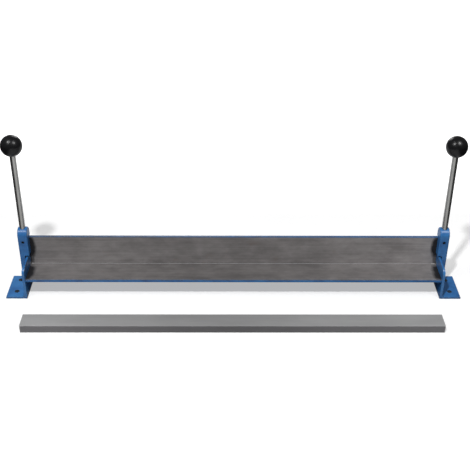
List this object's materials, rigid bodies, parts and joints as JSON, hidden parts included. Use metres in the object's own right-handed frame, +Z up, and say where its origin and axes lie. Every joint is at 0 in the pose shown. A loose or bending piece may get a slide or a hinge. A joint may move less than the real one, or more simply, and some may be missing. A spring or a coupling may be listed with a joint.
{
  "type": "manual sheet metal brake",
  "caption": "Bench folding brake: a steel bed and a hinged bending wing of rolled angle, with upright ball-knob handles, bolt-down feet and a loose clamp bar.",
  "frame": {"origin": "centre of the four bolt holes in the feet, on the bench face", "axes": "+X along the bend line to the right, +Y from the bed's front edge to the back, +Z up from the bench"},
  "size_m": [0.858, 0.201, 0.31],
  "materials": {
    "face_steel": "bare rolled steel on the working faces, blue paint elsewhere",
    "bar_steel": "bare drawn steel",
    "blue_paint": "semi-gloss",
    "rod_steel": "polished",
    "black_steel": "black oxide",
    "black_knob": "gloss",
    "bush_brass": "turned"
  },
  "bodies": {
    "base": {"bed_angle": "face_steel", "left_foot_bracket": "blue_paint", "right_foot_bracket": "blue_paint", "left_bed_weld": "blue_paint", "right_bed_weld": "blue_paint"},
    "wing": {"wing_angle": "face_steel", "left_handle_block": "blue_paint", "right_handle_block": "blue_paint", "left_block_weld": "blue_paint", "right_block_weld": "blue_paint", "left_pivot_pin": "rod_steel", "right_pivot_pin": "rod_steel", "left_spacer_washer": "rod_steel", "right_spacer_washer": "rod_steel", "left_handle_rod": "rod_steel", "right_handle_rod": "rod_steel", "left_set_screw": "black_steel", "right_set_screw": "black_steel", "left_ball_knob": "black_knob", "right_ball_knob": "black_knob", "left_knob_insert": "bush_brass", "right_knob_insert": "bush_brass"},
    "loose_bar": {"clamp_bar": "bar_steel"}
  },
  "joints": [
    {"name": "wing_fold", "type": "hinge", "parent": "base", "child": "wing", "pos_m": [0, 0.023, 0.0405], "axis": [1, 0, 0], "range_deg": [-90, 10]},
    {"name": "bar_lift", "type": "slide", "parent": "base", "child": "loose_bar", "axis": [0, 0, 1], "range_m": [0, 0.1]}
  ]
}
